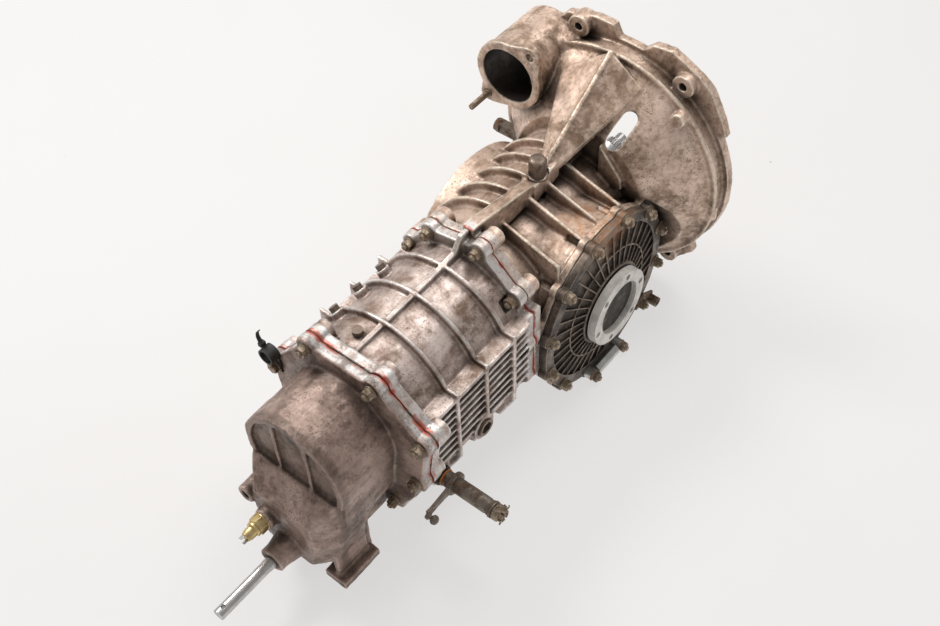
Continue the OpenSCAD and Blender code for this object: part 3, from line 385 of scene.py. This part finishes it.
SURFACES = {
    "main_casting": cast_metal(
        "main_casting", (0.90, 0.69, 0.57), (0.57, 0.41, 0.31), (0.235, 0.152, 0.103),
        (0.048, 0.030, 0.018), 0.50, 0.56, 1.0, extra=main_extra,
        bands=(lambda p: p.band("X", REAR_JOINT_X - 5 * MM, 5 * MM, 4 * MM),)),
    "gear_casting": cast_metal(
        "gear_casting", (0.88, 0.76, 0.70), (0.58, 0.46, 0.41), (0.22, 0.145, 0.105),
        (0.075, 0.045, 0.028), 0.70, 0.45, 0.85, extra=gear_extra,
        bands=(lambda p: p.band("X", REAR_JOINT_X + 7 * MM, 5 * MM, 4 * MM),
               lambda p: p.band("X", FRONT_JOINT_X - 6 * MM, 5 * MM, 4 * MM))),
    "nose_casting": cast_metal(
        "nose_casting", (0.48, 0.35, 0.295), (0.265, 0.185, 0.15), (0.115, 0.074, 0.057),
        (0.026, 0.017, 0.012), 0.36, 0.60, 0.9, extra=nose_extra,
        bands=(lambda p: p.band("X", FRONT_JOINT_X + 8 * MM, 3 * MM, 4 * MM),)),
    "cover_casting": cast_metal(
        "cover_casting", (0.27, 0.21, 0.165), (0.09, 0.067, 0.052), (0.036, 0.026, 0.020),
        (0.012, 0.009, 0.007), 0.40, 0.68, 0.8, extra=cover_extra),
    "gasket": coated("gasket_paper", (0.05, 0.04, 0.035), (0.16, 0.12, 0.09), 0.6),
    "sealant": sealant_bead(),
    "fasteners": steel("zinc_fasteners", (0.44, 0.36, 0.27), 0.40, rust=0.5, metallic=0.75),
    "spacers": steel("bright_spacers", (0.66, 0.65, 0.63), 0.32, rust=0.12),
    "bracket": steel("sheet_bracket", (0.30, 0.24, 0.19), 0.5, rust=0.6, metallic=0.6),
    "plugs": steel("dull_plugs", (0.27, 0.21, 0.17), 0.34, rust=0.3, metallic=0.8),
    "switch": steel("yellow_switch", (0.78, 0.60, 0.30), 0.3, rust=0.1, metallic=0.85),
    "black_rubber": coated("black_rubber", (0.018, 0.017, 0.016), (0.06, 0.055, 0.05), 0.45),
    "bearing_steel": steel("bearing_steel", (0.62, 0.62, 0.63), 0.22, rust=0.04),
    "shaft_steel": steel("shaft_steel", (0.64, 0.63, 0.61), 0.27, rust=0.08),
    "gear_steel": steel("gear_steel", (0.46, 0.46, 0.47), 0.3, rust=0.04, oil_and_shade=0.5),
    "fork_bronze": steel("fork_bronze", (0.60, 0.40, 0.19), 0.4, rust=0.05),
    "orange_ring": coated("orange_ring", (0.62, 0.20, 0.03), (0.35, 0.12, 0.04), 0.4),
    "bright_rod": steel("bright_rod", (0.62, 0.60, 0.59), 0.22, rust=0.06),
    "case_iron": steel("case_iron", (0.26, 0.26, 0.27), 0.55, rust=0.15, metallic=0.7),
    "flange_steel": steel("flange_steel", (0.84, 0.81, 0.76), 0.58, rust=0.08, metallic=0.3,
                          turned="Y", extra=flange_extra),
    "lever_steel": steel("lever_steel", (0.27, 0.23, 0.19), 0.45, rust=0.5, metallic=0.7),
}


# ---------- mesh helpers ----------
def add_object(name, mesh, node, slot=None, replaced=()):
    """Puts a finished mesh on the body of a CAD node, with the material of its slot."""
    obj = bpy.data.objects.new(name, mesh)
    bpy.context.scene.collection.objects.link(obj)
    slot = slot or SLOT_OF[node]
    mesh.materials.clear()
    mesh.materials.append(SURFACES[slot])
    mesh.polygons.foreach_set("use_smooth", [True] * len(mesh.polygons))
    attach(obj, BODY_OF[node])
    if replaced:
        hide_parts(*replaced)
    return obj


def bake_modifiers(obj):
    """The object's mesh with its modifiers applied."""
    graph = bpy.context.evaluated_depsgraph_get()
    graph.update()
    return bpy.data.meshes.new_from_object(obj.evaluated_get(graph), depsgraph=graph)


def welded(*nodes):
    """A bmesh copy of CAD nodes with their split corners joined."""
    bm = bmesh.new()
    for node in nodes:
        bm.from_mesh(NODES[node].data)
    bmesh.ops.remove_doubles(bm, verts=bm.verts, dist=2e-6)
    return bm


def casting(nodes, voxel, rounds, rough_size, rough_height):
    """Turns CAD castings into one soft-edged, slightly uneven cast skin."""
    node = nodes[-1]
    bm = welded(*nodes)
    mesh = bpy.data.meshes.new(node + "_raw")
    bm.to_mesh(mesh)
    bm.free()
    raw = bpy.data.objects.new(node + "_raw", mesh)
    bpy.context.scene.collection.objects.link(raw)
    remesh = raw.modifiers.new("skin", "REMESH")
    remesh.mode = "VOXEL"
    remesh.voxel_size = voxel
    soften = raw.modifiers.new("soften", "SMOOTH")
    soften.factor = 0.5
    soften.iterations = rounds
    for i, share in enumerate((1.0, 0.35)):
        lumps = bpy.data.textures.new(f"{node}_lumps_{i}", "CLOUDS")
        lumps.noise_scale = rough_size * share
        push = raw.modifiers.new(f"lumps_{i}", "DISPLACE")
        push.texture = lumps
        push.texture_coords = "GLOBAL"
        push.strength = rough_height * share
        push.mid_level = 0.5
    finished = bake_modifiers(raw)
    bpy.data.objects.remove(raw)
    return add_object(node + "_cast", finished, node, replaced=nodes)


def islands(node):
    """Lowest and highest corner of each separate solid in a CAD node."""
    bm = welded(node)
    seen, found = set(), []
    for start in bm.verts:
        if start in seen:
            continue
        stack, lo, hi = [start], Vector(start.co), Vector(start.co)
        seen.add(start)
        while stack:
            v = stack.pop()
            lo = Vector(map(min, lo, v.co))
            hi = Vector(map(max, hi, v.co))
            for e in v.link_edges:
                other = e.other_vert(v)
                if other not in seen:
                    seen.add(other)
                    stack.append(other)
        found.append((lo, hi))
    bm.free()
    return found


def ring_stack(bm, rings, place, caps=(True, True)):
    """Skins a list of closed rings of local points; place moves them into the row frame."""
    made = [[bm.verts.new(place @ Vector(q)) for q in ring] for ring in rings]
    count = len(rings[0])
    for low, high in zip(made, made[1:]):
        for i in range(count):
            j = (i + 1) % count
            bm.faces.new((low[i], low[j], high[j], high[i]))
    if caps[0]:
        bm.faces.new(list(reversed(made[0])))
    if caps[1]:
        bm.faces.new(made[-1])


def round_ring(r, z, count=32):
    return [(r * math.cos(t), r * math.sin(t), z)
            for t in (2 * math.pi * i / count for i in range(count))]


def hex_ring(flat, z, cap, count=48):
    """A hexagon ring whose corners are cut off at radius cap."""
    points = []
    for i in range(count):
        t = 2 * math.pi * i / count
        corner = (t % (math.pi / 3)) - math.pi / 6
        r = min(flat / math.cos(corner), cap)
        points.append((r * math.cos(t), r * math.sin(t), z))
    return points


def lathe(bm, profile, place, count=40, caps=(True, True)):
    """A turned piece from (radius, height) steps along local z."""
    ring_stack(bm, [round_ring(r * MM, z * MM, count) for r, z in profile], place, caps)


def hexagon(bm, flat, low, high, place, chamfer=0.9):
    """A chamfered hexagon from low to high along local z; flat is half its width in mm."""
    corner = flat / math.cos(math.pi / 6)
    cut = flat * 1.02
    steps = [(cut, low), (corner, low + chamfer * 0.6), (corner, high - chamfer * 0.6), (cut, high)]
    ring_stack(bm, [hex_ring(flat * MM, z * MM, cap * MM) for cap, z in steps], place)


def thread(bm, radius, low, high, place, pitch=1.25):
    """A threaded stud end as close-set ridges with a chamfered tip."""
    profile, z = [(radius * 0.9, low)], low
    while z + pitch < high - 0.8:
        profile += [(radius, z + 0.35 * pitch), (radius * 0.86, z + 0.9 * pitch)]
        z += pitch
    profile += [(radius * 0.95, high - 0.8), (radius * 0.72, high)]
    lathe(bm, profile, place, 28)


def facing(point, axis, turn=0.0):
    """Local z along a row axis, at a point, with a turn about it."""
    basis = Vector(axis).to_track_quat("Z", "Y").to_matrix().to_4x4()
    return Matrix.Translation(point) @ basis @ Matrix.Rotation(turn, 4, "Z")


def to_mesh(bm, name):
    bmesh.ops.recalc_face_normals(bm, faces=bm.faces)
    mesh = bpy.data.meshes.new(name)
    bm.to_mesh(mesh)
    bm.free()
    return mesh


def crease(obj, angle=35):
    """Keeps machined edges sharp on a smooth-shaded piece."""
    limit = math.cos(math.radians(angle))
    bm = bmesh.new()
    bm.from_mesh(obj.data)
    for e in bm.edges:
        if len(e.link_faces) == 2:
            a, b = e.link_faces
            e.smooth = a.normal.dot(b.normal) > limit
    bm.to_mesh(obj.data)
    bm.free()
    return obj


# ---------- castings ----------
casting(("bell_housing", "starter_mount", "main_housing"), 1.5 * MM, 5, 0.028, 1.4 * MM)
casting(("gear_housing",), 1.3 * MM, 4, 0.022, 1.0 * MM)
casting(("nose_cover",), 1.5 * MM, 7, 0.026, 2.6 * MM)
casting(("side_cover",), 0.9 * MM, 3, 0.015, 0.5 * MM)

# ---------- nuts on their studs ----------
NUT_STACK = 12.5 * MM
NUT_FLAT = 6.5


def nut_group(node, axis):
    """Washer, spring ring, nut and threaded stud end on each solid of a fastener node."""
    bm = bmesh.new()
    way = Vector(axis)
    for n, (lo, hi) in enumerate(islands(node)):
        top = (lo + hi) / 2
        for k in range(3):
            if axis[k]:
                top[k] = hi[k]
        place = facing(top - way * NUT_STACK, axis, turn=0.9 * n)
        lathe(bm, [(7.6, 0), (8.4, 0.25), (8.4, 1.2), (7.9, 1.5)], place)
        lathe(bm, [(6.6, 1.5), (6.9, 1.8), (6.9, 2.7), (6.5, 2.9)], place)
        hexagon(bm, NUT_FLAT, 2.9, 9.0, place)
        thread(bm, 3.95, 8.2, 12.4, place)
    obj = add_object(node + "_detail", to_mesh(bm, node + "_detail"), node, replaced=(node,))
    return crease(obj)


nut_group("side_cover_nuts", (0, 1, 0))
nut_group("rear_joint_nuts", (1, 0, 0))
nut_group("front_joint_nuts", (1, 0, 0))


# ---------- plugs and switch ----------
def top_plug():
    lo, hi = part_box("top_plug")
    base = Vector(((lo.x + hi.x) / 2, (lo.y + hi.y) / 2, lo.z))
    low = (hi.z - lo.z) / MM - 29
    bm = bmesh.new()
    place = facing(base, (0, 0, 1), 0.35)
    lathe(bm, [(8.6, 0), (8.8, 1), (8.8, low)], place)
    lathe(bm, [(12.2, low), (13, low + 0.4), (13, low + 2.2), (12.4, low + 2.6)], place)
    hexagon(bm, 9.96, low + 2.6, low + 26.5, place, 1.6)
    lathe(bm, [(9.6, low + 26.0), (9.2, low + 27.6), (7.4, low + 28.6), (4, low + 28.9)], place)
    crease(add_object("top_plug_detail", to_mesh(bm, "top_plug_detail"), "top_plug",
                      replaced=("top_plug",)))


def reverse_switch():
    lo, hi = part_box("reverse_switch")
    start = Vector((lo.x, (lo.y + hi.y) / 2, (lo.z + hi.z) / 2))
    place = facing(start, (1, 0, 0), 0.4)
    bm = bmesh.new()
    thread(bm, 6.9, 0, 38, place, 1.5)
    lathe(bm, [(10.8, 38), (11.8, 38.3), (11.8, 39.7), (11, 40)], place)
    hexagon(bm, 10.4, 40, 50.5, place, 1.4)
    lathe(bm, [(9.6, 50.5), (9.9, 51), (9.9, 54), (9.2, 55), (7.6, 55.2), (7.2, 56)], place)
    lathe(bm, [(7.4, 56), (7.4, 62), (6.6, 64.5), (6.0, 67)], place)
    crease(add_object("reverse_switch_detail", to_mesh(bm, "reverse_switch_detail"),
                      "reverse_switch", replaced=("reverse_switch",)))
    bm = bmesh.new()
    for side in (-1, 1):
        blade = place @ Matrix.Translation((0, side * 4 * MM, 69.5 * MM))
        bmesh.ops.create_cube(bm, size=1, matrix=blade @ Matrix.Diagonal(
            (5.6 * MM, 0.8 * MM, 7 * MM, 1)))
    bmesh.ops.bevel(bm, geom=bm.edges[:], offset=0.25 * MM, segments=2, affect="EDGES")
    crease(add_object("reverse_switch_blades", to_mesh(bm, "reverse_switch_blades"),
                      "reverse_switch", slot="spacers"))


# ---------- throttle lever on its cross shaft ----------
def tube_along(bm, points, radius, place, sides=16, caps=True):
    """A round bar swept along local points in mm."""
    path = [place @ (Vector(q) * MM) for q in points]
    rings = []
    for i, at in enumerate(path):
        ahead = path[min(i + 1, len(path) - 1)] - path[max(i - 1, 0)]
        turn = ahead.to_track_quat("Z", "Y").to_matrix().to_4x4()
        rings.append([Matrix.Translation(at) @ turn @ Vector(q)
                      for q in round_ring(radius * MM, 0, sides)])
    ring_stack(bm, rings, Matrix.Identity(4), (caps, caps))


def throttle_lever():
    lo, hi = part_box("throttle_lever")
    shaft_lo, shaft_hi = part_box("cross_shaft")
    axis_x, axis_z = (shaft_lo.x + shaft_hi.x) / 2, (shaft_lo.z + shaft_hi.z) / 2
    place = facing(Vector((axis_x, lo.y, axis_z)), (0, 1, 0))
    span = (hi.y - lo.y) / MM
    bm = bmesh.new()
    lathe(bm, [(6.1, 0), (9.4, 0), (10, 0.8), (10, 11), (9.2, 12), (9.2, 13)], place, caps=(False, False))
    lathe(bm, [(9.2, 13), (14.4, 13), (15, 13.8), (15, 18.4), (14.4, 19), (9.6, 19)], place,
          caps=(False, False))
    lathe(bm, [(9.6, 19), (10, 20), (10, span - 6), (9.3, span - 5), (9.3, span - 3.2),
               (10, span - 2.4), (10, span - 0.8), (9.4, span), (6.1, span)], place,
          caps=(False, False))
    crease(add_object("throttle_sleeve", to_mesh(bm, "throttle_sleeve"), "throttle_lever",
                      replaced=("throttle_lever",)))
    bm = bmesh.new()
    lathe(bm, [(10.0, 1.2), (11.0, 1.5), (11.3, 2.4), (11.0, 3.3), (10.0, 3.6)], place, caps=(False, False))
    add_object("throttle_ring", to_mesh(bm, "throttle_ring"), "throttle_lever", slot="orange_ring")
    # flat arm that narrows and kinks towards its ball
    bm = bmesh.new()
    reach = (hi.x - axis_x) / MM - 8
    thick = 4.0
    steps = ((10, 7.5, 0), (22, 6, 0), (34, 5, 1.5), (44, 5, 3), (reach, 6.5, 3.5))
    rings = []
    for x, half, lift in steps:
        corners = ((-half, 0), (-half, thick), (half, thick), (half, 0))
        rings.append([((axis_x / MM + x) * MM, lo.y + (14 + lift * 0.3 + v) * MM, axis_z + u * MM)
                      for u, v in corners])
    ring_stack(bm, rings, Matrix.Identity(4))
    bmesh.ops.bevel(bm, geom=bm.edges[:], offset=0.8 * MM, segments=3, affect="EDGES")
    ball = facing(Vector((axis_x + reach * MM, lo.y + 15 * MM, axis_z)), (0, 1, 0))
    lathe(bm, [(4.6, 2), (4.8, 5.5), (3, 6), (2.8, 8.5), (4.6, 9.6), (5.8, 11.4), (6, 13), (5.6, 14.8),
               (4.2, 16.6), (2.2, 17.6)], ball, 28)
    crease(add_object("throttle_arm", to_mesh(bm, "throttle_arm"), "throttle_lever"))


def castle_nut():
    lo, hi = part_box("cross_shaft_nut")
    shaft_lo, shaft_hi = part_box("cross_shaft")
    centre = Vector(((shaft_lo.x + shaft_hi.x) / 2, lo.y, (shaft_lo.z + shaft_hi.z) / 2))
    place = facing(centre, (0, 1, 0), 0.3)
    bm = bmesh.new()
    hexagon(bm, 9.1, 0, 9.2, place, 1.2)
    lathe(bm, [(8.2, 9.0), (8.2, 10.4), (5.9, 10.4)], place)
    for k in range(6):
        block = []
        for z, grow in ((10.2, 1.0), (13.2, 1.0), (14.0, 0.93)):
            arc = [(k * 60 + t, r) for r, ts in ((8.3 * grow, (-20, -10, 0, 10, 20)),
                                                 (5.6, (20, 10, 0, -10, -20))) for t in ts]
            block.append([(r * MM * math.cos(math.radians(a)), r * MM * math.sin(math.radians(a)),
                           z * MM) for a, r in arc])
        ring_stack(bm, block, place)
    lathe(bm, [(5.2, 9.0), (5.2, 12.8), (4.4, 13.4)], place, 24)
    crease(add_object("castle_nut_detail", to_mesh(bm, "castle_nut_detail"), "cross_shaft_nut",
                      replaced=("cross_shaft_nut",)))
    bm = bmesh.new()
    turned = place @ Matrix.Rotation(math.radians(30), 4, "Z")
    tube_along(bm, [(-11.5, 0, 12.2), (-6, 0, 12.2), (6, 0, 12.2), (9.6, 0, 12.0), (11.8, 0.6, 10.2),
                    (12.4, 0.8, 7.4)], 1.1, turned, 12)
    tube_along(bm, [(9.2, 0, 12.4), (12.0, -1.6, 13.0), (13.2, -3.6, 11.6)], 0.9, turned, 12)
    add_object("split_pin", to_mesh(bm, "split_pin"), "cross_shaft_nut")


# ---------- small pieces on the outside ----------
def starter_stud():
    lo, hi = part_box("starter_stud")
    start = Vector((lo.x, (lo.y + hi.y) / 2, (lo.z + hi.z) / 2))
    place = facing(start, (1, 0, 0))
    length = (hi.x - lo.x) / MM
    bm = bmesh.new()
    lathe(bm, [(4.6, 0), (5, 0.6), (5, 18), (4.1, 18.2), (4.1, length - 24)], place, 28)
    thread(bm, 4.1, length - 24.5, length, place)
    crease(add_object("starter_stud_detail", to_mesh(bm, "starter_stud_detail"), "starter_stud",
                      replaced=("starter_stud",)))


def cable_tie():
    """Tail and lock block of the tie that the cable loop is made from."""
    lo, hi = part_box("cable_clip")
    head = Vector(((lo.x + hi.x) / 2, lo.y + 3 * MM, hi.z - 2 * MM))
    bm = bmesh.new()
    steps = ((0, 0), (4, 7), (6, 14), (5, 21), (1, 27))
    rings = []
    for i, (out, up) in enumerate(steps):
        half, thick = 3.0 - 0.25 * i, 0.9
        at = head + Vector((0, -out * MM, up * MM))
        rings.append([at + Vector((a * MM, b * MM, 0)) for a, b in
                      ((-half, -thick), (half, -thick), (half, thick), (-half, thick))])
    ring_stack(bm, rings, Matrix.Identity(4))
    block = Matrix.Translation(head + Vector((0, -1.5 * MM, 3 * MM)))
    bmesh.ops.create_cube(bm, size=1, matrix=block @ Matrix.Diagonal((8 * MM, 6 * MM, 6 * MM, 1)))
    bmesh.ops.bevel(bm, geom=bm.edges[:], offset=0.5 * MM, segments=2, affect="EDGES")
    crease(add_object("cable_tie_tail", to_mesh(bm, "cable_tie_tail"), "cable_clip"))


top_plug()
reverse_switch()
throttle_lever()
castle_nut()
starter_stud()
cable_tie()

# ---------- shading of the CAD pieces that stay ----------
for node, obj in NODES.items():
    obj.data.materials.clear()
    obj.data.materials.append(SURFACES[SLOT_OF[node]])

# ---------- floor, light and camera ----------
FLOOR_REACH = 6.0


def floor():
    bm = bmesh.new()
    bmesh.ops.create_grid(bm, x_segments=4, y_segments=4, size=FLOOR_REACH,
                          matrix=Matrix.Translation((0.3, 0, FLOOR_Z)))
    obj = bpy.data.objects.new("floor", to_mesh(bm, "floor"))
    bpy.context.scene.collection.objects.link(obj)
    p = Paint("floor_paint")
    tone = p.mix(p.ramp(p.noise(1.6, 4), (0.4, 0.0), (0.6, 0.5)), (0.84, 0.83, 0.82), (0.82, 0.80, 0.79))
    specks = p.math("MULTIPLY", p.ramp(p.cells(11), (0.030, 1.0), (0.040, 0.0)),
                    p.ramp(p.noise(3.1, 2), (0.56, 0.0), (0.60, 0.7)))
    tone = p.mix(specks, tone, (0.35, 0.27, 0.22))
    p.plug(tone, p.bsdf.inputs["Emission Color"])
    p.bsdf.inputs["Emission Strength"].default_value = 0.75
    tone = p.mix(1.0, tone, (0.28, 0.28, 0.28), "MULTIPLY")
    obj.data.materials.append(p.finish(tone, 0.75, 0.0, p.bump(p.noise(260), 0.08, 0.3 * MM)))


def lamp(name, at, aim, size, power, colour):
    data = bpy.data.lights.new(name, "AREA")
    data.shape = "DISK"
    data.size = size
    data.energy = power
    data.color = colour
    obj = bpy.data.objects.new(name, data)
    bpy.context.scene.collection.objects.link(obj)
    obj.location = at
    obj.rotation_euler = (Vector(aim) - Vector(at)).to_track_quat("-Z", "Y").to_euler()


def light():
    world = bpy.data.worlds.new("studio")
    world.use_nodes = True
    world.node_tree.nodes["Background"].inputs["Color"].default_value = (1.0, 0.98, 0.965, 1)
    world.node_tree.nodes["Background"].inputs["Strength"].default_value = 0.36
    bpy.context.scene.world = world
    centre = (0.33, 0, 0)
    lamp("key", (0.35, -1.5, 1.8), centre, 0.8, 34, (1.0, 0.975, 0.95))
    lamp("top", (-0.9, 0.1, 2.3), centre, 1.2, 25, (1.0, 0.985, 0.97))
    bpy.context.scene.view_settings.view_transform = "Standard"
    bpy.context.scene.view_settings.look = "None"


# direction from the object to the camera, and the camera's distance and tilt
CAMERA_AZIMUTH, CAMERA_ELEVATION, CAMERA_ROLL = map(math.radians, (40.70, 50.49, -2.77))
CAMERA_DISTANCE = 1.6765
CAMERA_ASIDE, CAMERA_UP = -0.2025, -0.2339
FOCAL_MM = 48.25


def camera():
    back = Vector((math.cos(CAMERA_ELEVATION) * math.cos(CAMERA_AZIMUTH),
                   math.cos(CAMERA_ELEVATION) * math.sin(CAMERA_AZIMUTH),
                   math.sin(CAMERA_ELEVATION)))
    level = Vector((-math.sin(CAMERA_AZIMUTH), math.cos(CAMERA_AZIMUTH), 0))
    above = back.cross(level)
    right = level * math.cos(CAMERA_ROLL) + above * math.sin(CAMERA_ROLL)
    up = above * math.cos(CAMERA_ROLL) - level * math.sin(CAMERA_ROLL)
    data = bpy.data.cameras.new("camera")
    data.lens = FOCAL_MM
    data.sensor_width = 36
    data.clip_start = 0.05
    obj = bpy.data.objects.new("camera", data)
    bpy.context.scene.collection.objects.link(obj)
    place = Matrix((right, up, back)).transposed().to_4x4()
    place.translation = back * CAMERA_DISTANCE + right * CAMERA_ASIDE + up * CAMERA_UP
    obj.matrix_world = place
    bpy.context.scene.camera = obj


floor()
light()
camera()
